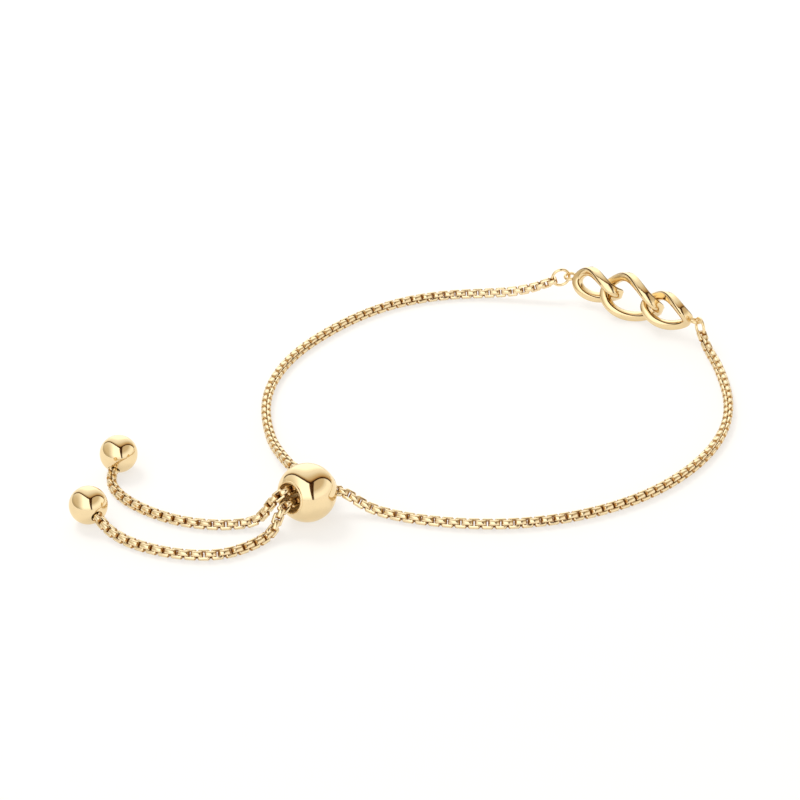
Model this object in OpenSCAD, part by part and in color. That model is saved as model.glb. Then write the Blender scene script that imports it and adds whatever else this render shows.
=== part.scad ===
/* [Chain] */
// Distance from one link of the two chains to the next
link_pitch = 0.765; // [0.75:0.005:0.78]
// Outside length of one chain link
link_length = 1.2; // [1.18:0.01:1.24]
// Diameter of the round chain, across the outer faces of its links
chain_d = 1.3; // [1.2:0.05:1.4]
// Breadth of the band that a link is bent from
band_breadth = 0.54; // [0.5:0.01:0.55]
// Thickness of a link's end walls, which pass through its neighbours
end_wall = 0.14; // [0.12:0.01:0.15]
// Thickness of a link's side walls, which show
side_wall = 0.22; // [0.18:0.01:0.23]
// Links in the loop stretch of the left chain
left_loop_links = 84; // [60:1:88]
// Links in the loop stretch of the right chain
right_loop_links = 98; // [60:1:100]

/* [Slide bead] */
// Diameter of the slide bead
slide_bead_d = 6.9; // [6.85:0.05:7.2]
// Diameter of the bore that both chains pass through
slide_bore_d = 3.4; // [3.35:0.05:3.5]
// Thickness of the rolled lip round each mouth
slide_lip = 0.3; // [0.24:0.02:0.36]

/* [End beads] */
// Diameter of the two end beads
end_bead_d = 4.5; // [4.4:0.05:4.6]
// Diameter of the hole that a chain end sits in
end_hole_d = 1.7; // [1.65:0.05:1.8]
// Depth of that hole below the surface of the ball
end_hole_depth = 1.4; // [1.3:0.05:1.8]

/* [Curb links] */
// Length of the middle curb link
middle_link_length = 9.4; // [9.2:0.1:9.6]
// Height of the middle curb link
middle_link_height = 6.4; // [6.2:0.1:6.6]
// Length of each outer curb link
outer_link_length = 7.6; // [7.5:0.1:7.8]
// Height of each outer curb link
outer_link_height = 4.8; // [4.7:0.1:5]
// Distance from the middle curb link to each outer one
curb_pitch = 5.55; // [5.5:0.05:5.6]
// Width of the curb links' bar, in the plane of a link
bar_width = 1.1; // [1:0.05:1.2]
// Depth of the curb links' bar, across the plane of a link
bar_depth = 1.4; // [1.2:0.05:1.45]
// Turn of each half of a curb link about its long axis
curb_twist = 50; // [48:1:55]
// Lean of the outer curb links, away from the lean of the middle one
outer_link_lean = 12; // [8:1:16]

/* [Rings] */
// Outside diameter of the jump rings
jump_ring_d = 2.7; // [2.6:0.05:2.8]
// Wire of the jump rings
jump_ring_wire = 0.37; // [0.35:0.01:0.39]
// Outside diameter of the eyelets soldered to the outer curb links
eyelet_d = 1.75; // [1.7:0.05:1.9]
// Wire of the eyelets
eyelet_wire = 0.4; // [0.35:0.01:0.42]

/* [Hidden] */
gold = [0.93, 0.8, 0.55];
chain_gold = [0.88, 0.74, 0.46];

// Guide points of the left chain, from its end bead through the slide bead to its jump ring
LEFT_GUIDE = [ // x, y, z, roll of the links
    [-35.2, -14.0, 1.57, 45],
    [-35.5, -15.1, 0.85, 45],
    [-35.6, -17.1, 0.65, 45],
    [-34.4, -20.1, 0.65, 45],
    [-31.1, -23.5, 0.65, 45],
    [-26.8, -26.0, 0.65, 45],
    [-22.5, -26.8, 0.65, 45],
    [-20.0, -26.5, 0.65, 45],
    [-18.4, -26.2, 0.75, 45],
    [-17.2, -26.1, 1.6, 45],
    [-16.45, -25.95, 2.9, 45],
    [-15.45, -26.0, 4.2, 45],
    [-14.2, -25.5, 4.65, 45],
    [-13.1, -24.4, 4.35, 45],
    [-12.0, -23.0, 3.8, 45],
    [-10.8, -21.7, 3.1, 45],
    [-10.0, -20.0, 2.6, 45],
    [-10.9, -18.2, 2.3, 45],
    [-12.6, -17.2, 2.1, 45],
    [-14.1, -16.0, 2.0, 45],
    [-15.1, -13.6, 1.75, 45],
    [-16.1, -10.6, 1.3, 45],
    [-17.1, -6.9, 0.75, 45],
    [-18.1, -0.4, 0.65, 45],
    [-18.0, 5.4, 0.65, 74],
    [-16.7, 11.1, 0.65, 97],
    [-14.3, 16.6, 0.65, 115],
    [-10.9, 21.5, 0.65, 124],
    [-6.9, 26.1, 0.65, 130],
    [-2.3, 29.7, 0.65, 130],
    [3.0, 31.9, 0.65, 128],
    [8.0, 32.6, 0.65, 138],
    [13.2, 32.2, 1.0, 150],
    [16.27, 31.99, 1.83, 170],
    [18.56, 32.18, 2.67, 180]
];

// Guide points of the right chain, in the same order
RIGHT_GUIDE = [ // x, y, z, roll of the links
    [-36.7, -25.9, 1.97, 132],
    [-36.0, -27.0, 1.65, 132],
    [-35.0, -28.2, 1.0, 132],
    [-33.0, -30.0, 0.65, 132],
    [-30.5, -31.6, 0.65, 132],
    [-27.5, -32.8, 0.65, 132],
    [-24.3, -33.4, 0.65, 132],
    [-21.2, -33.1, 0.65, 132],
    [-18.6, -31.4, 0.65, 132],
    [-16.9, -29.7, 0.65, 132],
    [-15.8, -28.4, 1.1, 132],
    [-15.4, -27.4, 2.45, 132],
    [-14.5, -26.6, 3.35, 132],
    [-13.3, -25.8, 3.25, 132],
    [-11.9, -24.5, 2.9, 132],
    [-10.55, -23.15, 2.8, 132],
    [-9.25, -22.15, 2.7, 132],
    [-7.9, -22.2, 2.4, 132],
    [-6.5, -22.9, 1.7, 132],
    [-5.0, -23.4, 0.95, 132],
    [-3.0, -24.1, 0.65, 132],
    [-0.5, -25.1, 0.65, 132],
    [3.0, -26.0, 0.65, 132],
    [8.0, -26.6, 0.65, 132],
    [13.0, -26.3, 0.65, 132],
    [18.0, -25.1, 0.65, 131],
    [23.0, -22.9, 0.65, 128],
    [27.8, -19.7, 0.65, 124],
    [32.2, -15.2, 0.65, 116],
    [36.0, -9.5, 0.65, 100],
    [38.4, -3.2, 0.65, 62],
    [39.3, 3.2, 0.65, 25],
    [39.0, 9.0, 0.65, -4],
    [38.6, 12.8, 0.65, -10],
    [38.05, 15.2, 0.76, -6],
    [37.6, 16.67, 1.18, -2],
    [37.19, 17.805, 2.0, 0]
];

// Plan place of the middle curb link and the heading of the row of curb links
curb_place = [28.7, 26.2];
curb_heading = -40;
outer_link_z = 3.15;
// Share of a circle's corner rounding in the ovals of the links and of their bar
link_squareness = 0.94;
bar_squareness = 0.5;
link_stations = 40;
bar_sides = 12;
eyelet_overlap = 0.15;

// Centres of the jump rings and the turns of their axes
left_ring_place = [19.73, 32.43, 3.1];
left_ring_turn = [0, 85.4, 102.4];
right_ring_place = [36.92, 18.76, 2.77];
right_ring_turn = [0, 88.6, 19.7];

// Slide bead: place, and the heading and rise of its bore
slide_bead_place = [-12.2, -24.1];
slide_bore_turn = [0, 79.5, 227.5];

// End beads: place, and the turn of the axis of the hole
left_end_place = [-34.9, -13.0];
left_hole_turn = [0, 123, 255];
right_end_place = [-37.4, -24.9];
right_hole_turn = [0, 103, -57];

// How far the lips' centres lie below the ball's surface
lip_set_back = 0.02;

// Gaps between pieces
end_slack = 0.035;
tube_gap = 0.15;
tube_step = 1.3;
tube_sides = 8;
curve_steps = 8;
tangent_step = 0.1;
eps = 0.01;

// One span of a smooth curve drawn by four guide points
function span(a, b, c, d, t) =
    (pow(1 - t, 3) * a + (3 * pow(t, 3) - 6 * pow(t, 2) + 4) * b
    + (3 * t + 3 * pow(t, 2) - 3 * pow(t, 3) + 1) * c + pow(t, 3) * d) / 6;

// The whole curve, which starts and ends on its first and last guide points
function curve(guide) =
    let (last = len(guide) - 1,
         g = concat([2 * guide[0] - guide[1]], guide, [2 * guide[last] - guide[last - 1]]))
    concat([for (i = [0:last - 1], k = [0:curve_steps - 1])
                span(g[i], g[i + 1], g[i + 2], g[i + 3], k / curve_steps)],
           [guide[last]]);

function place_of(p) = [p[0], p[1], p[2]];

// Length of the curve up to each of its points
function run_lengths(c) =
    [for (i = 0, s = 0; i < len(c); i = i + 1, s = s + (i < len(c) ? norm(place_of(c[i] - c[i - 1])) : 0)) s];

// A route is four tables, of x, y, z and roll against the length run from the end bead
function route(guide) =
    let (c = curve(guide), run = run_lengths(c))
    [for (k = [0:3]) [for (i = [0:len(c) - 1]) [run[i], c[i][k]]]];
function run_end(route) = route[0][len(route[0]) - 1][0];
function along(route, s) = [for (k = [0:2]) lookup(s, route[k])];
function unit(v) = v / norm(v);

// Forward, sideways and upward directions of a chain at one place on its route
function frame(route, s) =
    let (forward = unit(along(route, s + tangent_step) - along(route, s - tangent_step)),
         side = unit(cross([0, 0, 1], forward)))
    [forward, side, cross(forward, side)];

left_route = route(LEFT_GUIDE);
right_route = route(RIGHT_GUIDE);

// Run of link k of a chain, counted back from the jump ring
function link_run(route, k) = run_end(route) - k * link_pitch - (k > 0 ? end_slack : 0);

module on_route(route, s) {
    f = frame(route, s);
    p = along(route, s);
    multmatrix([[f[0].x, f[1].x, f[2].x, p.x],
                [f[0].y, f[1].y, f[2].y, p.y],
                [f[0].z, f[1].z, f[2].z, p.z]])
        rotate([lookup(s, route[3]), 0, 0]) children();
}

// A square band ring whose side walls follow the round of the chain
module chain_link() {
    intersection() {
        linear_extrude(band_breadth, center = true) difference() {
            intersection() {
                square([link_length, chain_d + eps], center = true);
                circle(d = link_length + chain_d / 4, $fn = 48);
            }
            square([link_length - 2 * end_wall, chain_d - 2 * side_wall], center = true);
        }
        rotate([0, 90, 0]) cylinder(d = chain_d, h = link_length + eps, center = true, $fn = 48);
    }
}

// Links of the loop stretch, each turned a quarter from its neighbours
module loop_chain(route, links) {
    for (k = [0:links - 1])
        on_route(route, link_run(route, k)) rotate([90 * (k % 2), 0, 0]) chain_link();
}

// Closed tube along a route, from its start to the given run
module tube(route, run) {
    rings = ceil(run / tube_step);
    points = [for (i = [0:rings], j = [0:tube_sides - 1])
        let (s = run * i / rings, f = frame(route, s), a = 360 * j / tube_sides)
        along(route, s) + chain_d / 2 * (cos(a) * f[1] + sin(a) * f[2])];
    sides = [for (i = [0:rings - 1], j = [0:tube_sides - 1])
        let (n = (j + 1) % tube_sides, a = i * tube_sides, b = a + tube_sides)
        [a + j, b + j, b + n, a + n]];
    start = [for (j = [0:tube_sides - 1]) j];
    finish = [for (j = [tube_sides - 1:-1:0]) rings * tube_sides + j];
    polyhedron(points, concat(sides, [start, finish]));
}

// Outer form of the free end and of the run through the slide bead
module tail_chain(route, loop_links) {
    tube(route, link_run(route, loop_links - 1) - link_length / 2 - tube_gap);
}

function sign_power(v, e) = sign(v) * pow(abs(v), e);
function oval(a, b, e, t) = [a * sign_power(cos(t), e), b * sign_power(sin(t), e)];

// Turn a point about the long axis of its link, more towards the link's ends
function twisted(p, half) =
    let (a = curb_twist * p.x / half)
    [p.x, p.y * cos(a) - p.z * sin(a), p.y * sin(a) + p.z * cos(a)];

// An oval ring of squared bar, twisted about its long axis
module curb_link(length, height) {
    a = (length - bar_width) / 2;
    b = (height - bar_width) / 2;
    points = [for (i = [0:link_stations - 1], j = [0:bar_sides - 1])
        let (t = 360 * (i + 0.5) / link_stations,
             c = oval(a, b, link_squareness, t),
             d = unit(oval(a, b, link_squareness, t + 1) - oval(a, b, link_squareness, t - 1)),
             s = oval(bar_width / 2, bar_depth / 2, bar_squareness, 360 * (j + 0.5) / bar_sides))
        twisted([c.x + d.y * s.x, c.y - d.x * s.x, s.y], length / 2)];
    faces = [for (i = [0:link_stations - 1], j = [0:bar_sides - 1])
        let (m = (i + 1) % link_stations, n = (j + 1) % bar_sides)
        [i * bar_sides + j, i * bar_sides + n, m * bar_sides + n, m * bar_sides + j]];
    polyhedron(points, faces, convexity = 4);
}

module wire_ring(outside_d, wire) {
    rotate_extrude($fn = 48) translate([(outside_d - wire) / 2, 0]) circle(d = wire, $fn = 24);
}

// Stand a piece in the row of curb links, at a distance along it
module in_row(distance, z) {
    translate([curb_place.x, curb_place.y, z]) rotate([0, 0, curb_heading])
        translate([distance, 0, 0]) rotate([90, 0, 0]) children();
}

module outer_curb_link(side) {
    in_row(side * curb_pitch, outer_link_z) rotate([-side * outer_link_lean, 0, 0]) {
        curb_link(outer_link_length, outer_link_height);
        translate([side * (outer_link_length / 2 + eyelet_d / 2 - eyelet_overlap), 0, 0])
            rotate([90, 0, 0]) wire_ring(eyelet_d, eyelet_wire);
    }
}

module curb_link_left() { color(gold) outer_curb_link(-1); }
module curb_link_middle() { color(gold) in_row(0, middle_link_height / 2) curb_link(middle_link_length, middle_link_height); }
module curb_link_right() { color(gold) outer_curb_link(1); }

module jump_ring_left() { color(gold) translate(left_ring_place) rotate(left_ring_turn) wire_ring(jump_ring_d, jump_ring_wire); }
module jump_ring_right() { color(gold) translate(right_ring_place) rotate(right_ring_turn) wire_ring(jump_ring_d, jump_ring_wire); }

module loop_chain_left() { color(chain_gold) loop_chain(left_route, left_loop_links); }
module loop_chain_right() { color(chain_gold) loop_chain(right_route, right_loop_links); }
module tail_chain_left() { color(chain_gold) tail_chain(left_route, left_loop_links); }
module tail_chain_right() { color(chain_gold) tail_chain(right_route, right_loop_links); }

// Ball bored through, with a rolled lip round each mouth
module slide_bead() {
    lip_r = (slide_bore_d + slide_lip) / 2;
    lip_depth = sqrt(pow(slide_bead_d / 2, 2) - pow(lip_r, 2)) - lip_set_back;
    color(gold) translate([slide_bead_place.x, slide_bead_place.y, slide_bead_d / 2]) rotate(slide_bore_turn)
        rotate_extrude($fn = 96) {
            intersection() {
                union() {
                    intersection() {
                        circle(d = slide_bead_d, $fn = 96);
                        square([slide_bead_d, 2 * lip_depth], center = true);
                    }
                    translate([lip_r, -lip_depth]) circle(d = slide_lip, $fn = 24);
                    translate([lip_r, lip_depth]) circle(d = slide_lip, $fn = 24);
                }
                translate([slide_bore_d / 2, -slide_bead_d]) square([slide_bead_d, 2 * slide_bead_d]);
            }
        }
}

// Ball with a round hole for the end of a chain
module end_bead(place, hole_turn) {
    color(gold) translate([place.x, place.y, end_bead_d / 2]) rotate(hole_turn)
        difference() {
            sphere(d = end_bead_d, $fn = 96);
            translate([0, 0, end_bead_d / 2 - end_hole_depth]) cylinder(d = end_hole_d, h = end_bead_d, $fn = 48);
        }
}

module end_bead_left() { end_bead(left_end_place, left_hole_turn); }
module end_bead_right() { end_bead(right_end_place, right_hole_turn); }

curb_link_left();
curb_link_middle();
curb_link_right();
jump_ring_left();
jump_ring_right();
loop_chain_left();
loop_chain_right();
tail_chain_left();
tail_chain_right();
slide_bead();
end_bead_left();
end_bead_right();
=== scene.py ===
"""Looks of an adjustable link bracelet: curb links, rings, round box chains, slide bead and end beads."""

from math import cos, pi, radians, sin, sqrt
import bmesh
import bpy
import numpy as np
from mathutils import Matrix, Vector


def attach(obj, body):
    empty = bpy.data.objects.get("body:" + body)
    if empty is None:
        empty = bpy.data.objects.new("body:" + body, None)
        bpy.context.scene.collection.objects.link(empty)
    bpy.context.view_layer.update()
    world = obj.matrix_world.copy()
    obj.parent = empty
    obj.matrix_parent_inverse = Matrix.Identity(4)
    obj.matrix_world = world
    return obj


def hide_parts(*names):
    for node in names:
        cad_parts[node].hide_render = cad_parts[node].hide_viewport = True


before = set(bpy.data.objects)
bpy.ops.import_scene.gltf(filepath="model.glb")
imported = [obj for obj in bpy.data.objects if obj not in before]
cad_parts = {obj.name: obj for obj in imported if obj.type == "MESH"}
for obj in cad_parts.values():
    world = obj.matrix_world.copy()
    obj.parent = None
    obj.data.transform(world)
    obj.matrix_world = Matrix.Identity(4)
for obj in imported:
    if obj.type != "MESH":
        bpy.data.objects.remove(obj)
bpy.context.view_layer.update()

bl_info = {
    "name": "Adjustable link bracelet",
    "version": (1, 0, 0),
    "blender": (4, 5, 0),
    "location": "3D View > Sidebar > Bracelet",
    "description": "Models a slide bracelet of twisted curb links and round box chain on its packed frame",
    "category": "Add Mesh",
}

MM = 0.001

# Guide points of the left chain, from its end bead through the slide bead to its jump ring
LEFT_GUIDE = (  # x, y, z in mm, roll of the links in degrees
    (-35.2, -14.0, 1.57, 45),
    (-35.5, -15.1, 0.85, 45),
    (-35.6, -17.1, 0.65, 45),
    (-34.4, -20.1, 0.65, 45),
    (-31.1, -23.5, 0.65, 45),
    (-26.8, -26.0, 0.65, 45),
    (-22.5, -26.8, 0.65, 45),
    (-20.0, -26.5, 0.65, 45),
    (-18.4, -26.2, 0.75, 45),
    (-17.2, -26.1, 1.6, 45),
    (-16.45, -25.95, 2.9, 45),
    (-15.45, -26.0, 4.2, 45),
    (-14.2, -25.5, 4.65, 45),
    (-13.1, -24.4, 4.35, 45),
    (-12.0, -23.0, 3.8, 45),
    (-10.8, -21.7, 3.1, 45),
    (-10.0, -20.0, 2.6, 45),
    (-10.9, -18.2, 2.3, 45),
    (-12.6, -17.2, 2.1, 45),
    (-14.1, -16.0, 2.0, 45),
    (-15.1, -13.6, 1.75, 45),
    (-16.1, -10.6, 1.3, 45),
    (-17.1, -6.9, 0.75, 45),
    (-18.1, -0.4, 0.65, 45),
    (-18.0, 5.4, 0.65, 74),
    (-16.7, 11.1, 0.65, 97),
    (-14.3, 16.6, 0.65, 115),
    (-10.9, 21.5, 0.65, 124),
    (-6.9, 26.1, 0.65, 130),
    (-2.3, 29.7, 0.65, 130),
    (3.0, 31.9, 0.65, 128),
    (8.0, 32.6, 0.65, 138),
    (13.2, 32.2, 1.0, 150),
    (16.27, 31.99, 1.83, 170),
    (18.56, 32.18, 2.67, 180),
)

# Guide points of the right chain, in the same order
RIGHT_GUIDE = (  # x, y, z in mm, roll of the links in degrees
    (-36.7, -25.9, 1.97, 132),
    (-36.0, -27.0, 1.65, 132),
    (-35.0, -28.2, 1.0, 132),
    (-33.0, -30.0, 0.65, 132),
    (-30.5, -31.6, 0.65, 132),
    (-27.5, -32.8, 0.65, 132),
    (-24.3, -33.4, 0.65, 132),
    (-21.2, -33.1, 0.65, 132),
    (-18.6, -31.4, 0.65, 132),
    (-16.9, -29.7, 0.65, 132),
    (-15.8, -28.4, 1.1, 132),
    (-15.4, -27.4, 2.45, 132),
    (-14.5, -26.6, 3.35, 132),
    (-13.3, -25.8, 3.25, 132),
    (-11.9, -24.5, 2.9, 132),
    (-10.55, -23.15, 2.8, 132),
    (-9.25, -22.15, 2.7, 132),
    (-7.9, -22.2, 2.4, 132),
    (-6.5, -22.9, 1.7, 132),
    (-5.0, -23.4, 0.95, 132),
    (-3.0, -24.1, 0.65, 132),
    (-0.5, -25.1, 0.65, 132),
    (3.0, -26.0, 0.65, 132),
    (8.0, -26.6, 0.65, 132),
    (13.0, -26.3, 0.65, 132),
    (18.0, -25.1, 0.65, 131),
    (23.0, -22.9, 0.65, 128),
    (27.8, -19.7, 0.65, 124),
    (32.2, -15.2, 0.65, 116),
    (36.0, -9.5, 0.65, 100),
    (38.4, -3.2, 0.65, 62),
    (39.3, 3.2, 0.65, 25),
    (39.0, 9.0, 0.65, -4),
    (38.6, 12.8, 0.65, -10),
    (38.05, 15.2, 0.76, -6),
    (37.6, 16.67, 1.18, -2),
    (37.19, 17.805, 2.0, 0),
)
CURVE_STEPS = 8

# Places of the pieces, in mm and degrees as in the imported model
CURB_PLACE = (28.7, 26.2)
CURB_HEADING = -40
OUTER_LINK_Z = 3.15
JUMP_RINGS = (  # name, place, turn of the axis
    ("left", (19.73, 32.43, 3.1), (0, 85.4, 102.4)),
    ("right", (36.92, 18.76, 2.77), (0, 88.6, 19.7)),
)
SLIDE_BEAD_PLACE = (-12.2, -24.1)
SLIDE_BORE_TURN = (0, 79.5, 227.5)
END_BEADS = (  # name, place, turn of the hole's axis
    ("left", (-34.9, -13.0), (0, 123, 255)),
    ("right", (-37.4, -24.9), (0, 103, -57)),
)


def length(name, about, default):
    """A size in metres, given in millimetres."""
    return bpy.props.FloatProperty(
        name=name, description=about, default=default * MM, min=0, unit="LENGTH", precision=5
    )


def turn(name, about, default):
    """An angle, given in degrees."""
    return bpy.props.FloatProperty(
        name=name, description=about, default=radians(default), subtype="ANGLE", unit="ROTATION"
    )


def share(name, about, default, high=1.0):
    """A number from nought up."""
    return bpy.props.FloatProperty(name=name, description=about, default=default, min=0, max=high)


def colour(name, about, default):
    """A colour without transparency."""
    return bpy.props.FloatVectorProperty(
        name=name, description=about, default=default, size=3, subtype="COLOR", min=0, max=1
    )


def point(name, about, default):
    """A place, in metres."""
    return bpy.props.FloatVectorProperty(
        name=name, description=about, default=default, size=3, subtype="TRANSLATION"
    )


def count(name, about, default):
    """A number of like things, two or more."""
    return bpy.props.IntProperty(name=name, description=about, default=default, min=2)


class BraceletCurbLinks(bpy.types.PropertyGroup):
    """Sizes of the three curb links and the eyelets soldered to the outer two."""

    middle_length: length("Middle length", "Length of the middle link", 9.4)
    middle_height: length("Middle height", "Height of the middle link", 6.4)
    outer_length: length("Outer length", "Length of each outer link", 7.6)
    outer_height: length("Outer height", "Height of each outer link", 4.8)
    pitch: length("Pitch", "Distance from the middle link to each outer one", 5.55)
    bar_width: length("Bar width", "Width of the bar in the plane of a link", 1.1)
    bar_depth: length("Bar depth", "Depth of the bar across the plane of a link", 1.4)
    edge_reach: length("Edge reach", "How far the bevel at the bar's edges reaches", 0.29)
    edge_fullness: share("Edge fullness", "Shape of that bevel: 0.25 is flat, 0.5 a quarter circle", 0.36)
    # The dark line along the edges is a painted reflection, kept only on edge facets that look up at least
    # this far.
    painted_line_from: share("Dark edge from", "How far up an edge facet looks before its line is dark", 0.2)
    twist: turn("Twist", "Turn of each half of a link about its long axis", 50)
    lean: turn("Lean", "Lean of the outer links, away from the lean of the middle one", 12)
    eyelet_d: length("Eyelet diameter", "Outside diameter of the eyelets", 1.75)
    eyelet_wire: length("Eyelet wire", "Wire of the eyelets", 0.4)
    eyelet_overlap: length("Eyelet overlap", "How far an eyelet is set into its link", 0.15)


class BraceletRings(bpy.types.PropertyGroup):
    """Sizes of the two jump rings."""

    diameter: length("Diameter", "Outside diameter of the jump rings", 2.7)
    wire: length("Wire", "Wire of the jump rings", 0.37)
    seam: length("Seam", "Width of the fine seam where a ring was closed", 0.03)


class BraceletChain(bpy.types.PropertyGroup):
    """Sizes of the links of both chains."""

    pitch: length("Pitch", "Distance from one link to the next", 0.765)
    link_length: length("Link length", "Outside length of one link", 1.36)
    diameter: length("Diameter", "Diameter of the round chain", 1.3)
    breadth: length("Breadth", "Breadth of the band that a link is bent from", 0.62)
    end_wall: length("End wall", "Thickness of a link's end walls", 0.25)
    side_wall: length("Side wall", "Thickness of a link's side walls", 0.28)
    corner: length("Corner", "Bevel of a link's four corners", 0.16)
    edge: length("Edge", "Rounding along the edges of the band", 0.08)
    end_slack: length("End slack", "Extra room at the jump ring", 0.075)
    left_loop_links: count("Left loop links", "Links of the left chain that lie in the loop", 84)
    right_loop_links: count("Right loop links", "Links of the right chain that lie in the loop", 98)


class BraceletBeads(bpy.types.PropertyGroup):
    """Sizes of the slide bead and of the two end beads."""

    slide_d: length("Slide bead diameter", "Diameter of the slide bead", 6.9)
    bore_d: length("Bore diameter", "Diameter of the bore that both chains pass through", 3.4)
    lip: length("Lip", "Thickness of the rolled lip round each mouth", 0.3)
    lip_set_back: length("Lip set-back", "How far the lips' centres lie below the ball's surface", 0.02)
    end_d: length("End bead diameter", "Diameter of the end beads", 4.5)
    hole_d: length("Hole diameter", "Diameter of the hole that a chain end sits in", 1.38)
    hole_depth: length("Hole depth", "Depth of that hole below the surface of the ball", 1.4)
    hole_edge: length("Hole edge", "Rounding of the hole's edge", 0.05)


class BraceletFinish(bpy.types.PropertyGroup):
    """Colours and polish of the gold."""

    gold: colour("Gold", "Colour of the rings and beads", (0.885, 0.705, 0.42))
    # Painted shade: the curb links' gold is a darker copy of the beads' gold, standing in for the dimmer
    # light that falls on their faces.
    link_tone_painted_darker: colour("Link gold", "Colour of the curb links", (0.845, 0.665, 0.385))
    chain_gold: colour("Chain gold", "Colour of the chain", (0.885, 0.72, 0.45))
    # Painted reflection: a dark line painted along the links' edges stands in for the studio's dark parts
    # that rounded edges would reflect.
    painted_edge_reflection: colour("Edge gold", "Colour of the dark line along the links' edges", (0.10, 0.045, 0.015))
    # Painted shade: the darker gold on the faces inside each link and on its end faces stands in for the
    # shade between the links.
    painted_shade_gold: colour("Deep gold", "Colour inside the chain's links", (0.52, 0.28, 0.085))
    # Painted light: the gold inside the slide bead is lighter than the beads' own gold, standing in for
    # light that barely reaches into the bore.
    bore_painted_light_gold: colour("Bore gold", "Colour inside the slide bead", (1.0, 0.80, 0.48))
    bore_roughness: share("Bore roughness", "Roughness inside the slide bead", 0.5)
    bead_roughness: share("Bead roughness", "Roughness of the mirror-polished beads", 0.07)
    link_roughness: share("Link roughness", "Roughness of the polished curb links", 0.11)
    wire_roughness: share("Wire roughness", "Roughness of the rings", 0.12)
    chain_roughness: share("Chain roughness", "Roughness of the chain", 0.17)


class BraceletStage(bpy.types.PropertyGroup):
    """Floor, light and camera."""

    floor: colour("Floor", "Colour of the floor", (0.345, 0.34, 0.33))
    floor_light: share("Floor light", "Light that the floor gives off, as a light table does", 0.635, 10)
    sky: share("Sky", "Strength of the light from behind and above", 1.0, 10)
    key: share("Key", "Power of the soft lamp that throws the shadows, in watts", 2.6, 100)
    key_place: point("Key place", "Place of that lamp", (-0.30, 0.34, 0.60))
    camera_tilt: turn("Camera tilt", "How far the camera looks down", 28.70877)
    camera_distance: bpy.props.FloatProperty(
        name="Camera distance",
        description="From the camera to the point it looks at",
        default=0.3671388,
        unit="LENGTH",
    )
    aim: point("Aim", "Point the camera looks at", (-0.0015, 0.0044, 0))
    lens: bpy.props.FloatProperty(
        name="Lens", description="Focal length in mm on the camera's sensor", default=132.9777
    )


def sizes(group):
    """One of the bracelet's groups of settings."""
    return getattr(bpy.context.scene, "bracelet_" + group)


# Modelling helpers


def nothing_selected():
    """Leave edit mode and select no object."""
    if bpy.context.object and bpy.context.object.mode != "OBJECT":
        bpy.ops.object.mode_set(mode="OBJECT")
    bpy.ops.object.select_all(action="DESELECT")


def only(piece):
    """Select one piece alone and make it the active one."""
    nothing_selected()
    piece.select_set(True)
    bpy.context.view_layer.objects.active = piece


def edit(piece, kind):
    """Open a piece in edit mode with nothing of it selected."""
    only(piece)
    bpy.ops.object.mode_set(mode="EDIT")
    bpy.ops.mesh.select_mode(type=kind)
    bpy.ops.mesh.select_all(action="DESELECT")


def pick(piece, kind, wanted):
    """Select the faces, edges or vertices of the open piece that answer to wanted."""
    mesh = bmesh.from_edit_mesh(piece.data)
    mesh.normal_update()
    found = 0
    for part in {"FACE": mesh.faces, "EDGE": mesh.edges, "VERT": mesh.verts}[kind]:
        if wanted(part):
            part.select_set(True)
            found += 1
    if not found:
        raise RuntimeError(f"{piece.name}: nothing to select")
    mesh.select_flush_mode()
    bmesh.update_edit_mesh(piece.data)


def pick_only(piece, kind, wanted):
    """Select what answers to wanted, and nothing else."""
    bpy.ops.mesh.select_all(action="DESELECT")
    bpy.ops.mesh.select_mode(type=kind)
    pick(piece, kind, wanted)


def everything(part):
    """Answers for every part of a mesh."""
    return True


def end_face(face):
    """Whether a face looks along Z, up or down."""
    return abs(face.normal.z) > 0.9


def rim(edge):
    """Whether an edge borders an opening of the mesh."""
    return edge.is_boundary


def cut(at, normal, **settings):
    """Cut what is selected along a plane. The fine threshold keeps the cut from snapping to near points."""
    bpy.ops.mesh.bisect(plane_co=at, plane_no=normal, threshold=1e-7, **settings)


def faces_outward():
    """Turn all faces of the open piece outward."""
    bpy.ops.mesh.select_all(action="SELECT")
    bpy.ops.mesh.normals_make_consistent(inside=False)


def close_up():
    """Turn all faces of the open piece outward and leave edit mode."""
    faces_outward()
    bpy.ops.object.mode_set(mode="OBJECT")


def finish_modifier(piece, kind, **settings):
    """Add a modifier and apply it."""
    only(piece)
    modifier = piece.modifiers.new(kind.title(), kind)
    for name, value in settings.items():
        setattr(modifier, name, value)
    bpy.ops.object.modifier_apply(modifier=modifier.name)


def put(piece, place):
    """Move a piece's mesh to its place and leave its object at the origin."""
    only(piece)
    piece.matrix_world = place
    bpy.ops.object.transform_apply(location=True, rotation=True, scale=True)


def turned(degrees):
    """Turn about X, then Y, then Z, in degrees."""
    x, y, z = (radians(a) for a in degrees)
    return Matrix.Rotation(z, 4, "Z") @ Matrix.Rotation(y, 4, "Y") @ Matrix.Rotation(x, 4, "X")


def hand_over(piece, name, slot, *nodes):
    """Name a finished piece and let it stand for its CAD nodes."""
    piece.name = piece.data.name = name
    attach(piece, "root")
    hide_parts(*nodes)


def smooth(piece, angle):
    """Shade a piece smooth but for edges sharper than an angle in degrees."""
    only(piece)
    bpy.ops.object.shade_smooth_by_angle(angle=radians(angle))


# Metals

CLOUDS = {"scale": 420, "detail": 3}
CLOUD_RANGE = (0.35, 0.68)
CLOUD_TONES = (0.965, 1.02)  # shares of the metal's colour in dull and in clear patches
RUBBING = {"scale": 1900, "detail": 4}
RUB_RANGE = (0.3, 0.75)
RUB_SHEEN = (0.85, 1.25)  # shares of the metal's roughness
GRAIN_HEIGHT = 0.01 * MM
WARM_EDGE = (1.0, 0.97, 0.9, 1.0)


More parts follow.
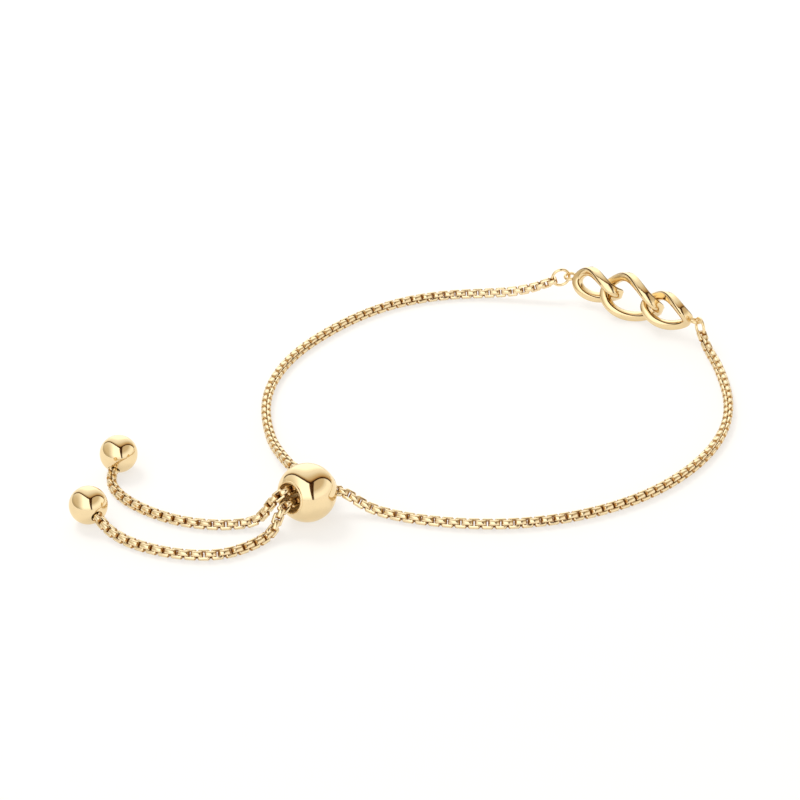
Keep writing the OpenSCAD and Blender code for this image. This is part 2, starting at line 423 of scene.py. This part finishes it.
def polished(name, tone, roughness, grain, relief):
    """Polished gold: faint cloudiness in tone and sheen, and a very fine wheel-polish grain."""
    if name in bpy.data.materials:
        return bpy.data.materials[name]
    material = bpy.data.materials.new(name)
    material.use_nodes = True
    nodes, links = material.node_tree.nodes, material.node_tree.links
    shader = nodes["Principled BSDF"]
    shader.inputs["Metallic"].default_value = 1.0
    shader.inputs["Specular Tint"].default_value = WARM_EDGE
    where = nodes.new("ShaderNodeTexCoord")

    def noise(scale, detail):
        """Noise that stays with the piece."""
        node = nodes.new("ShaderNodeTexNoise")
        node.inputs["Scale"].default_value = scale
        node.inputs["Detail"].default_value = detail
        links.new(where.outputs["Object"], node.inputs["Vector"])
        return node.outputs["Fac"]

    tones = nodes.new("ShaderNodeValToRGB")
    for element, position, part in zip(tones.color_ramp.elements, CLOUD_RANGE, CLOUD_TONES):
        element.position = position
        element.color = (*(min(1, part * c) for c in tone), 1)
    links.new(noise(**CLOUDS), tones.inputs["Fac"])
    links.new(tones.outputs["Color"], shader.inputs["Base Color"])
    sheen = nodes.new("ShaderNodeMapRange")
    sheen.inputs["From Min"].default_value, sheen.inputs["From Max"].default_value = RUB_RANGE
    sheen.inputs["To Min"].default_value = roughness * RUB_SHEEN[0]
    sheen.inputs["To Max"].default_value = roughness * RUB_SHEEN[1]
    links.new(noise(**RUBBING), sheen.inputs["Value"])
    links.new(sheen.outputs["Result"], shader.inputs["Roughness"])
    bump = nodes.new("ShaderNodeBump")
    bump.inputs["Strength"].default_value = relief
    bump.inputs["Distance"].default_value = GRAIN_HEIGHT
    links.new(noise(grain, 2), bump.inputs["Height"])
    links.new(bump.outputs["Normal"], shader.inputs["Normal"])
    return material


def curb_golds():
    """The polished gold of the links, painted darker than the beads' gold as painted shade, and the painted
    dark reflection line along their bevelled edges.
    """
    finish = sizes("finish")
    rough = finish.link_roughness
    bright = polished("polished_link_painted_darker", finish.link_tone_painted_darker, rough, grain=5200, relief=0.35)
    return [bright, polished("link_painted_edge_reflection", finish.painted_edge_reflection, rough, grain=5200, relief=0.2)]


def ring_gold():
    """The polished wire of the jump rings."""
    finish = sizes("finish")
    return polished("ring_wire_gold", finish.gold, finish.wire_roughness, grain=7000, relief=0.3)


def bead_gold():
    """The mirror polish of the beads."""
    finish = sizes("finish")
    return polished("mirror_bead_gold", finish.gold, finish.bead_roughness, grain=1500, relief=0.06)


def bore_painted_light_gold():
    """The unpolished metal inside the slide bead, painted lighter than the gold to stand in for light that
    barely reaches into the bore.
    """
    finish = sizes("finish")
    return polished("bead_bore_painted_light", finish.bore_painted_light_gold, finish.bore_roughness, grain=3000, relief=0.2)


def chain_golds():
    """The polished outside of the links, and a darker, rougher gold inside them whose darker colour is
    painted shade.
    """
    finish = sizes("finish")
    rough = finish.chain_roughness
    outside = polished("box_chain_gold", finish.chain_gold, rough, grain=9000, relief=0.3)
    inside = polished("box_chain_painted_shade", finish.painted_shade_gold, 2 * rough, grain=9000, relief=0.5)
    return [outside, inside]


# Curb links


def curb_link(link_length, link_height):
    """An oval ring of squared bar, twisted about its long axis, lying at the origin."""
    curb = sizes("curb_links")
    nothing_selected()
    bpy.ops.mesh.primitive_cylinder_add(vertices=96, radius=0.5, depth=curb.bar_depth, end_fill_type="NGON")
    link = bpy.context.object
    edit(link, "VERT")
    pick(link, "VERT", everything)
    bpy.ops.transform.resize(value=(link_length, link_height, 1), center_override=(0, 0, 0))
    pick_only(link, "FACE", end_face)
    bpy.ops.mesh.inset(thickness=curb.bar_width, use_even_offset=True)
    bpy.ops.mesh.bridge_edge_loops()
    pick_only(link, "EDGE", lambda edge: edge.calc_face_angle(0) > radians(60))
    bpy.ops.mesh.bevel(offset=curb.edge_reach, segments=3, profile=curb.edge_fullness)
    close_up()
    for metal in curb_golds():
        link.data.materials.append(metal)
    # Bevel facets between the flat faces and the sides get the painted dark reflection line.
    for face in link.data.polygons:
        painted_line_facet = 0.5 < abs(face.normal.z) < 0.87
        face.material_index = int(painted_line_facet)
    finish_modifier(link, "SIMPLE_DEFORM", deform_method="TWIST", deform_axis="X", angle=2 * curb.twist)
    return link


def keep_painted_lines_up(link):
    """Leave the painted dark reflection line only on edge facets that look up, as the bright floor lights
    the others.
    """
    for face in link.data.polygons:
        if face.normal.z < sizes("curb_links").painted_line_from:
            face.material_index = 0


WORN_FLAT = 0.94  # how much of an eyelet's thickness its worn sides keep


def eyelet(side):
    """A wire ring set into the end of an outer link, in the plane across the link's twist."""
    curb = sizes("curb_links")
    nothing_selected()
    reach = curb.outer_length / 2 + curb.eyelet_d / 2 - curb.eyelet_overlap
    bpy.ops.mesh.primitive_torus_add(
        major_segments=40,
        minor_segments=14,
        major_radius=(curb.eyelet_d - curb.eyelet_wire) / 2,
        minor_radius=curb.eyelet_wire / 2,
    )
    ring = bpy.context.object
    edit(ring, "VERT")
    pick(ring, "VERT", lambda v: abs(v.co.z) > 0.6 * curb.eyelet_wire / 2)
    bpy.ops.transform.resize(value=(1, 1, WORN_FLAT), center_override=(0, 0, 0))
    bpy.ops.object.mode_set(mode="OBJECT")
    put(ring, Matrix.Translation((side * reach, 0, 0)) @ Matrix.Rotation(pi / 2, 4, "X"))
    return ring


def in_row(distance, z):
    """Place in the row of curb links, standing on edge."""
    middle = Matrix.Translation((CURB_PLACE[0] * MM, CURB_PLACE[1] * MM, z))
    heading = Matrix.Rotation(radians(CURB_HEADING), 4, "Z")
    return middle @ heading @ Matrix.Translation((distance, 0, 0)) @ Matrix.Rotation(pi / 2, 4, "X")


class BRACELET_OT_curb_links(bpy.types.Operator):
    """Model the three twisted curb links, the outer two with their eyelets"""

    bl_idname = "bracelet.curb_links"
    bl_label = "Curb links"

    def execute(self, context):
        curb = sizes("curb_links")
        link = curb_link(curb.middle_length, curb.middle_height)
        put(link, in_row(0, curb.middle_height / 2))
        keep_painted_lines_up(link)
        smooth(link, 40)
        hand_over(link, "middle_curb_link", "polished_gold", "curb_link_middle")
        for side, name in ((-1, "left"), (1, "right")):
            link = curb_link(curb.outer_length, curb.outer_height)
            ring = eyelet(side)
            finish_modifier(link, "BOOLEAN", operation="UNION", object=ring, solver="EXACT")
            bpy.data.objects.remove(ring)
            lean = Matrix.Rotation(-side * curb.lean, 4, "X")
            put(link, in_row(side * curb.pitch, OUTER_LINK_Z * MM) @ lean)
            keep_painted_lines_up(link)
            smooth(link, 40)
            hand_over(link, name + "_curb_link", "polished_gold", "curb_link_" + name)
        return {"FINISHED"}


# Jump rings

SEAM_DEPTH = 0.93  # how much of the wire's thickness the seam keeps


class BRACELET_OT_jump_rings(bpy.types.Operator):
    """Model the two jump rings, each with the fine seam where it was closed"""

    bl_idname = "bracelet.jump_rings"
    bl_label = "Jump rings"

    def execute(self, context):
        rings = sizes("rings")
        radius = (rings.diameter - rings.wire) / 2
        for name, place, axis in JUMP_RINGS:
            nothing_selected()
            bpy.ops.mesh.primitive_torus_add(
                major_segments=56, minor_segments=20, major_radius=radius, minor_radius=rings.wire / 2
            )
            ring = bpy.context.object
            edit(ring, "VERT")
            for offset in (-rings.seam, 0, rings.seam):
                pick_only(ring, "VERT", lambda v: v.co.x > 0)
                cut((0, offset, 0), (0, 1, 0))
            pick_only(ring, "VERT", lambda v: v.co.x > 0 and abs(v.co.y) < rings.seam / 4)
            bpy.ops.transform.resize(value=(1, 1, SEAM_DEPTH), center_override=(radius, 0, 0))
            bpy.ops.transform.resize(value=(SEAM_DEPTH, 1, 1), center_override=(radius, 0, 0))
            bpy.ops.object.mode_set(mode="OBJECT")
            put(ring, Matrix.Translation(Vector(place) * MM) @ turned(axis))
            smooth(ring, 60)
            ring.data.materials.append(ring_gold())
            hand_over(ring, name + "_jump_ring", "wire_gold", "jump_ring_" + name)
        return {"FINISHED"}


# Chains


def faces_out(face):
    """Whether a side face of a ring round Z looks away from the axis."""
    where = face.calc_center_median()
    return face.normal.x * where.x + face.normal.y * where.y > 0


def chain_link():
    """One square band ring whose side walls follow the round of the chain, lying at the origin."""
    chain = sizes("chain")
    radius, half, end = chain.diameter / 2, chain.breadth / 2, chain.link_length / 2

    def end_corner(edge):
        """Whether an edge is one of the four corners that the band turns at."""
        at_corner = all(abs(abs(v.co.x) - end) < 1e-6 and abs(v.co.y) > 0.7 * radius for v in edge.verts)
        return at_corner and abs(edge.verts[0].co.z - edge.verts[1].co.z) > 1e-5

    def band_edge(edge):
        """Whether an edge runs round the outside of the band."""
        outside = all(end_face(face) or faces_out(face) for face in edge.link_faces)
        return outside and edge.calc_face_angle(0) > radians(45)

    nothing_selected()
    bpy.ops.mesh.primitive_cylinder_add(
        vertices=12, radius=radius, depth=chain.link_length, end_fill_type="NGON", rotation=(0, pi / 2, 0)
    )
    link = bpy.context.object
    bpy.ops.object.transform_apply(location=True, rotation=True, scale=True)
    edit(link, "VERT")
    for side in (-1, 1):
        bpy.ops.mesh.select_all(action="SELECT")
        cut((0, 0, side * half), (0, 0, side), use_fill=True, clear_outer=True)
    pick_only(link, "EDGE", end_corner)
    bpy.ops.mesh.bevel(offset=chain.corner, segments=1)
    pick_only(link, "FACE", end_face)
    wall = chain.side_wall - (radius - sqrt(radius**2 - half**2))
    bpy.ops.mesh.inset(thickness=wall, use_even_offset=True)
    stretch = (end - chain.end_wall) / (end - wall)
    bpy.ops.transform.resize(value=(stretch, 1, 1), center_override=(0, 0, 0))
    bpy.ops.mesh.bridge_edge_loops()
    faces_outward()
    pick_only(link, "EDGE", band_edge)
    bpy.ops.mesh.bevel(offset=chain.edge, segments=1)
    close_up()
    smooth(link, 50)
    for metal in chain_golds():
        link.data.materials.append(metal)
    # Faces inside a link and faces towards the next link get the darker gold: painted shade between the
    # links.
    for face in link.data.polygons:
        looks_inward = face.normal.x * face.center.x + face.normal.y * face.center.y < 0
        in_window = looks_inward and abs(face.normal.z) < 0.5
        faces_next = abs(face.normal.x) > 0.6
        face.material_index = int(faces_next or in_window)
    return link


def route(guide):
    """Lengths along a smooth curve drawn by guide points, and its places and rolls there."""
    g = np.array(guide) * (MM, MM, MM, radians(1))
    g = np.vstack([2 * g[0] - g[1], g, 2 * g[-1] - g[-2]])
    t = np.arange(CURVE_STEPS) / CURVE_STEPS
    before, after = 3 * t**3 - 6 * t**2 + 4, 3 * t + 3 * t**2 - 3 * t**3 + 1
    weights = np.stack([(1 - t) ** 3, before, after, t**3], 1) / 6
    points = np.vstack([weights @ g[i : i + 4] for i in range(len(guide) - 1)] + [g[-2:-1]])
    steps = np.linalg.norm(np.diff(points[:, :3], axis=0), axis=1)
    return np.concatenate([[0], np.cumsum(steps)]), points


def along(way, s):
    """Place and roll at a length along a route."""
    run, points = way
    return np.array([np.interp(s, run, points[:, k]) for k in range(4)])


def link_run(way, k):
    """Length along a route at link k, counted back from the jump ring."""
    chain = sizes("chain")
    return way[0][-1] - k * chain.pitch - (chain.end_slack if k else 0)


def link_place(way, k):
    """Place of link k, turned a quarter from its neighbours."""
    s = link_run(way, k)
    here = along(way, s)
    step = 0.1 * MM
    forward = Vector((along(way, s + step) - along(way, s - step))[:3]).normalized()
    side = Vector((0, 0, 1)).cross(forward).normalized()
    up = forward.cross(side)
    axes = Matrix((forward, side, up)).transposed().to_4x4()
    return Matrix.Translation(here[:3]) @ axes @ Matrix.Rotation(here[3] + pi / 2 * (k % 2), 4, "X")


def chain_stretch(model, way, first, last):
    """Links first to last of a chain, each a copy of the modelled link with its own mesh, as one piece."""
    copies = []
    for k in range(first, last):
        link = model.copy()
        link.data = model.data.copy()
        link.data.transform(link_place(way, k))
        bpy.context.scene.collection.objects.link(link)
        copies.append(link)
    nothing_selected()
    for link in copies:
        link.select_set(True)
    bpy.context.view_layer.objects.active = copies[0]
    bpy.ops.object.join()
    return copies[0]


class BRACELET_OT_chains(bpy.types.Operator):
    """Model one link of round box chain and lay copies of it along both routes"""

    bl_idname = "bracelet.chains"
    bl_label = "Chains"

    def execute(self, context):
        chain = sizes("chain")
        model = chain_link()
        chains = (
            ("left", LEFT_GUIDE, chain.left_loop_links),
            ("right", RIGHT_GUIDE, chain.right_loop_links),
        )
        for name, guide, loop_links in chains:
            way = route(guide)
            all_links = round((way[0][-1] - chain.end_slack) / chain.pitch)
            if all_links <= loop_links:
                raise RuntimeError("the loop takes more links than the chain has")
            loop = chain_stretch(model, way, 0, loop_links)
            hand_over(loop, name + "_loop_chain", "chain_gold", "loop_chain_" + name)
            tail = chain_stretch(model, way, loop_links, all_links)
            hand_over(tail, name + "_tail_chain", "chain_gold", "tail_chain_" + name)
        bpy.data.objects.remove(model)
        return {"FINISHED"}


# Beads

LIP_START = -28  # degrees, where the lip's round leaves the ball
LIP_STEPS = 9
HOLE_EDGE_STEPS = 4
BORE_START = 0.8  # share of the lip's distance from the middle where the bore's straight wall starts


def on_floor(place, radius):
    """Place of a ball that rests on the floor."""
    return Matrix.Translation(Vector((*place, 0)) * MM + Vector((0, 0, radius)))


def rounded_ball(diameter, segments, rings):
    """A ball at the origin, open in edit mode."""
    nothing_selected()
    bpy.ops.mesh.primitive_uv_sphere_add(segments=segments, ring_count=rings, radius=diameter / 2)
    ball = bpy.context.object
    edit(ball, "VERT")
    return ball


def cut_mouth(ball, depth, side):
    """Cut a ball open across its axis at a depth from its centre."""
    pick_only(ball, "VERT", everything)
    cut((0, 0, side * depth), (0, 0, side), clear_outer=True)


def draw_in(ball, profile):
    """Extrude the open rims step by step along a profile of radius and depth."""
    pick_only(ball, "EDGE", rim)
    for (r, z), (next_r, next_z) in zip(profile, profile[1:]):
        bpy.ops.mesh.extrude_edges_move()
        bpy.ops.transform.resize(value=(next_r / r, next_r / r, next_z / z), center_override=(0, 0, 0))


class BRACELET_OT_slide_bead(bpy.types.Operator):
    """Model the slide bead, bored through, with a rolled lip round each mouth"""

    bl_idname = "bracelet.slide_bead"
    bl_label = "Slide bead"

    def execute(self, context):
        beads = sizes("beads")
        ball_r, bore_r, lip_r = beads.slide_d / 2, beads.bore_d / 2, beads.lip / 2
        centre_r = bore_r + lip_r
        centre_z = sqrt(ball_r**2 - centre_r**2) - beads.lip_set_back
        start = radians(LIP_START)
        angles = [start + (pi - start) * k / LIP_STEPS for k in range(LIP_STEPS + 1)]
        profile = [(centre_r + lip_r * cos(a), centre_z + lip_r * sin(a)) for a in angles]
        meet_r = profile[0][0]
        meet_z = sqrt(ball_r**2 - meet_r**2)
        ball = rounded_ball(beads.slide_d, 128, 96)
        cut_mouth(ball, meet_z, 1)
        cut_mouth(ball, meet_z, -1)
        draw_in(ball, [(meet_r, meet_z), *profile[1:], (bore_r, BORE_START * centre_z)])
        bpy.ops.mesh.bridge_edge_loops(number_cuts=6)
        close_up()
        ball.data.materials.append(bead_gold())
        ball.data.materials.append(bore_painted_light_gold())
        # Faces of the bore get the rougher gold whose lighter colour is painted light inside the bore.
        for face in ball.data.polygons:
            in_bore = face.center.xy.length < 1.01 * bore_r and abs(face.normal.z) < 0.3
            face.material_index = int(in_bore)
        put(ball, on_floor(SLIDE_BEAD_PLACE, ball_r) @ turned(SLIDE_BORE_TURN))
        smooth(ball, 40)
        hand_over(ball, "sliding_bead", "bead_gold", "slide_bead")
        return {"FINISHED"}


class BRACELET_OT_end_beads(bpy.types.Operator):
    """Model the two end beads, each with the hole that its chain sits in"""

    bl_idname = "bracelet.end_beads"
    bl_label = "End beads"

    def execute(self, context):
        beads = sizes("beads")
        ball_r, hole_r, edge = beads.end_d / 2, beads.hole_d / 2, beads.hole_edge
        meet_r = hole_r + edge
        meet_z = sqrt(ball_r**2 - meet_r**2)
        floor_z = ball_r - beads.hole_depth
        angles = [pi / 2 * k / HOLE_EDGE_STEPS for k in range(1, HOLE_EDGE_STEPS + 1)]
        rounded = [(hole_r + edge * (1 - sin(a)), meet_z - edge * (1 - cos(a))) for a in angles]
        for name, place, axis in END_BEADS:
            ball = rounded_ball(beads.end_d, 96, 72)
            cut_mouth(ball, meet_z, 1)
            draw_in(ball, [(meet_r, meet_z), *rounded, (hole_r, floor_z), (0.2 * hole_r, floor_z)])
            bpy.ops.mesh.extrude_edges_move()
            bpy.ops.mesh.merge(type="CENTER")
            close_up()
            put(ball, on_floor(place, ball_r) @ turned(axis))
            smooth(ball, 40)
            ball.data.materials.append(bead_gold())
            hand_over(ball, name + "_end_bead", "bead_gold", "end_bead_" + name)
        return {"FINISHED"}


# Stage


TENT_LIGHT = (  # from the front right of the tent's roof to its back, its light
    (0.00, (0.42, 0.26, 0.12)),
    (0.20, (0.58, 0.42, 0.24)),
    (0.34, (0.70, 0.58, 0.42)),
    (0.41, (0.78, 0.69, 0.56)),
    (0.51, (0.89, 0.86, 0.80)),
    (0.59, (1.0, 0.98, 0.95)),
    (0.68, (1.06, 1.05, 1.03)),
    (0.77, (1.26, 1.26, 1.25)),
    (0.86, (1.6, 1.6, 1.6)),
)
TENT_EDGE = (  # from the tent's dark front edge inwards, its share of light
    (0.0, (0.05, 0.022, 0.008)),
    (0.32, (0.05, 0.022, 0.008)),
    (0.46, (0.42, 0.30, 0.19)),
    (0.66, (0.80, 0.72, 0.62)),
    (1.0, (1, 1, 1)),
)
LEFT_PANEL = (  # from far left inwards, its light
    (0.0, (0.70, 0.60, 0.45)),
    (0.085, (0.78, 0.70, 0.57)),
    (0.155, (0.97, 0.93, 0.87)),
    (0.25, (1.35, 1.34, 1.32)),
    (0.32, (1.6, 1.6, 1.6)),
)
RIGHT_PANEL = (  # from the floor up, its light
    (0.0, (1.05, 1.04, 1.02)),
    (0.14, (1.22, 1.21, 1.19)),
    (0.29, (1.20, 1.18, 1.15)),
    (0.43, (0.95, 0.92, 0.87)),
    (0.56, (0.72, 0.62, 0.48)),
    (1.0, (0.64, 0.51, 0.36)),
)
LEFT_FOOT = (  # from the floor up, the left panel's share of light
    (0.0, (0.66, 0.66, 0.65)),
    (0.28, (1, 1, 1)),
)
GAP_LIGHT = (  # from the middle of the gap between the panels to its edges, its share of light
    (0.0, (0.05, 0.022, 0.008)),
    (0.43, (0.06, 0.028, 0.010)),
    (0.60, (1, 1, 1)),
)


# Shape of the light tent. A direction has x to the right, y away from the camera and z up.
ARCH_X = 0.1
ARCH_FALL = -1.367  # how the arch falls off to both sides
ARCH_RISE = 0.24
PEAK_X = 0.25
PEAK_SLOPE = -2.5
PEAK_HEIGHT = 0.16
TENT_SLANT = -0.45
TENT_SPAN = (-0.4, 1.1)
TENT_EDGE_SPAN = (-0.08, 0.26)
TENT_MEETS_PANELS = (-0.10, -0.06)
PANELS_MEET = (0.25, 0.45)
GAP_X = 0.42
GAP_LEAN = 0.14
GAP_NARROWING = -0.11
GAP_SPAN = (-0.08, 0.17)


def shades(nodes, steps):
    """A colour ramp of the given positions and colours."""
    node = nodes.new("ShaderNodeValToRGB")
    elements = node.color_ramp.elements
    elements[0].position, elements[1].position = steps[0][0], steps[-1][0]
    elements[0].color, elements[1].color = (*steps[0][1], 1), (*steps[-1][1], 1)
    for position, shade in steps[1:-1]:
        elements.new(position).color = (*shade, 1)
    return node


def studio_sky(strength):
    """A tent of pale light: a glow behind and above, a panel on either side, and a dark gap in front."""
    world = bpy.data.worlds.new("studio")
    bpy.context.scene.world = world
    world.use_nodes = True
    nodes, links = world.node_tree.nodes, world.node_tree.links
    where = nodes.new("ShaderNodeTexCoord")
    parts = nodes.new("ShaderNodeSeparateXYZ")
    links.new(where.outputs["Generated"], parts.inputs[0])

    def reckon(operation, *values):
        """A sum of numbers and of other nodes' results."""
        node = nodes.new("ShaderNodeMath")
        node.operation = operation
        for socket, value in zip(node.inputs, values):
            if isinstance(value, float):
                socket.default_value = value
            else:
                links.new(value, socket)
        return node.outputs[0]

    def spread(value, span):
        """A value's place within a span, from nought to one."""
        node = nodes.new("ShaderNodeMapRange")
        node.inputs["From Min"].default_value, node.inputs["From Max"].default_value = span
        links.new(value, node.inputs["Value"])
        return node.outputs["Result"]

    def lit(value, steps):
        """The light that a table of steps gives for a value."""
        node = shades(nodes, steps)
        links.new(value, node.inputs["Fac"])
        return node.outputs["Color"]

    def mixed(blend, factor, a, b):
        """Two lights blended."""
        node = nodes.new("ShaderNodeMixRGB")
        node.blend_type = blend
        if isinstance(factor, float):
            node.inputs[0].default_value = factor
        else:
            links.new(factor, node.inputs[0])
        links.new(a, node.inputs[1])
        links.new(b, node.inputs[2])
        return node.outputs[0]

    x, y, z = (parts.outputs[axis] for axis in "XYZ")
    off_centre = reckon("SUBTRACT", x, ARCH_X)
    falling = reckon("MULTIPLY", off_centre, off_centre)
    arch = reckon("MULTIPLY_ADD", falling, ARCH_FALL, reckon("MULTIPLY_ADD", z, ARCH_RISE, y))
    from_peak = reckon("ABSOLUTE", reckon("SUBTRACT", x, PEAK_X))
    near_peak = reckon("MAXIMUM", reckon("MULTIPLY_ADD", from_peak, PEAK_SLOPE, 1.0), 0.0)
    peaked = reckon("MULTIPLY_ADD", near_peak, PEAK_HEIGHT, arch)
    tent = lit(spread(reckon("MULTIPLY_ADD", x, TENT_SLANT, arch), TENT_SPAN), TENT_LIGHT)
    tent = mixed("MULTIPLY", 1.0, tent, lit(spread(peaked, TENT_EDGE_SPAN), TENT_EDGE))
    across = reckon("MULTIPLY_ADD", x, 0.5, 0.5)
    left = mixed("MULTIPLY", 1.0, lit(across, LEFT_PANEL), lit(z, LEFT_FOOT))
    panels = mixed("MIX", spread(x, PANELS_MEET), left, lit(z, RIGHT_PANEL))
    beside = reckon("ABSOLUTE", reckon("SUBTRACT", reckon("MULTIPLY_ADD", z, GAP_LEAN, x), GAP_X))
    gap = lit(spread(reckon("MULTIPLY_ADD", z, GAP_NARROWING, beside), GAP_SPAN), GAP_LIGHT)
    panels = mixed("MULTIPLY", 1.0, panels, gap)
    light = mixed("MIX", spread(peaked, TENT_MEETS_PANELS), panels, tent)
    sky = nodes["Background"]
    sky.inputs["Strength"].default_value = strength
    links.new(light, sky.inputs["Color"])


FLOOR_SIZE = 6
FLOOR_GLOW = (1.0, 0.985, 0.965, 1)
LAMP_SIZE = 0.35
SENSOR_WIDTH = 36
NEAREST_SEEN = 0.01


class BRACELET_OT_stage(bpy.types.Operator):
    """Set the pale floor, the studio light and the camera"""

    bl_idname = "bracelet.stage"
    bl_label = "Stage"

    def execute(self, context):
        stage = sizes("stage")
        nothing_selected()
        bpy.ops.mesh.primitive_plane_add(size=FLOOR_SIZE)
        ground = bpy.context.object
        ground.name = ground.data.name = "pale_floor"
        paint = bpy.data.materials.new("pale_floor")
        paint.use_nodes = True
        shader = paint.node_tree.nodes["Principled BSDF"]
        shader.inputs["Base Color"].default_value = (*stage.floor, 1)
        shader.inputs["Roughness"].default_value = 0.9
        shader.inputs["Specular IOR Level"].default_value = 0.1
        shader.inputs["Emission Color"].default_value = FLOOR_GLOW
        shader.inputs["Emission Strength"].default_value = stage.floor_light
        ground.data.materials.append(paint)
        studio_sky(stage.sky)
        lamp = bpy.data.lights.new("key", "AREA")
        lamp.shape, lamp.size, lamp.energy = "DISK", LAMP_SIZE, stage.key
        key = bpy.data.objects.new("key", lamp)
        bpy.context.scene.collection.objects.link(key)
        key.location = stage.key_place
        key.rotation_euler = (-Vector(stage.key_place)).to_track_quat("-Z", "Y").to_euler()
        key.visible_glossy = False
        lens = bpy.data.cameras.new("camera")
        lens.sensor_width, lens.lens, lens.clip_start = SENSOR_WIDTH, stage.lens, NEAREST_SEEN
        camera = bpy.data.objects.new("camera", lens)
        bpy.context.scene.collection.objects.link(camera)
        tilt = stage.camera_tilt
        camera.location = Vector(stage.aim) + stage.camera_distance * Vector((0, -cos(tilt), sin(tilt)))
        camera.rotation_euler = (pi / 2 - tilt, 0, 0)
        bpy.context.scene.camera = camera
        bpy.context.scene.view_settings.view_transform = "Standard"
        return {"FINISHED"}


class BRACELET_PT_pieces(bpy.types.Panel):
    """Buttons and settings for each group of pieces"""

    bl_idname = "BRACELET_PT_pieces"
    bl_label = "Bracelet"
    bl_space_type = "VIEW_3D"
    bl_region_type = "UI"
    bl_category = "Bracelet"

    def draw(self, context):
        for step, groups in PIECES:
            box = self.layout.box()
            box.operator(step.bl_idname)
            for group in groups:
                settings = sizes(group)
                for name in settings.__annotations__:
                    box.prop(settings, name)


PIECES = (
    (BRACELET_OT_curb_links, ("curb_links",)),
    (BRACELET_OT_jump_rings, ("rings",)),
    (BRACELET_OT_chains, ("chain",)),
    (BRACELET_OT_slide_bead, ("beads",)),
    (BRACELET_OT_end_beads, ("finish",)),
    (BRACELET_OT_stage, ("stage",)),
)
GROUPS = {
    "curb_links": BraceletCurbLinks,
    "rings": BraceletRings,
    "chain": BraceletChain,
    "beads": BraceletBeads,
    "finish": BraceletFinish,
    "stage": BraceletStage,
}


def register():
    """Make the settings, the operators and the panel known."""
    for name, group in GROUPS.items():
        bpy.utils.register_class(group)
        setattr(bpy.types.Scene, "bracelet_" + name, bpy.props.PointerProperty(type=group))
    for step, _ in PIECES:
        bpy.utils.register_class(step)
    bpy.utils.register_class(BRACELET_PT_pieces)


def unregister():
    """Take them away again."""
    bpy.utils.unregister_class(BRACELET_PT_pieces)
    for step, _ in reversed(PIECES):
        bpy.utils.unregister_class(step)
    for name, group in GROUPS.items():
        delattr(bpy.types.Scene, "bracelet_" + name)
        bpy.utils.unregister_class(group)


def main():
    """Model every piece and the stage."""
    register()
    bpy.ops.bracelet.curb_links()
    bpy.ops.bracelet.jump_rings()
    bpy.ops.bracelet.chains()
    bpy.ops.bracelet.slide_bead()
    bpy.ops.bracelet.end_beads()
    bpy.ops.bracelet.stage()


if __name__ == "__main__":
    main()
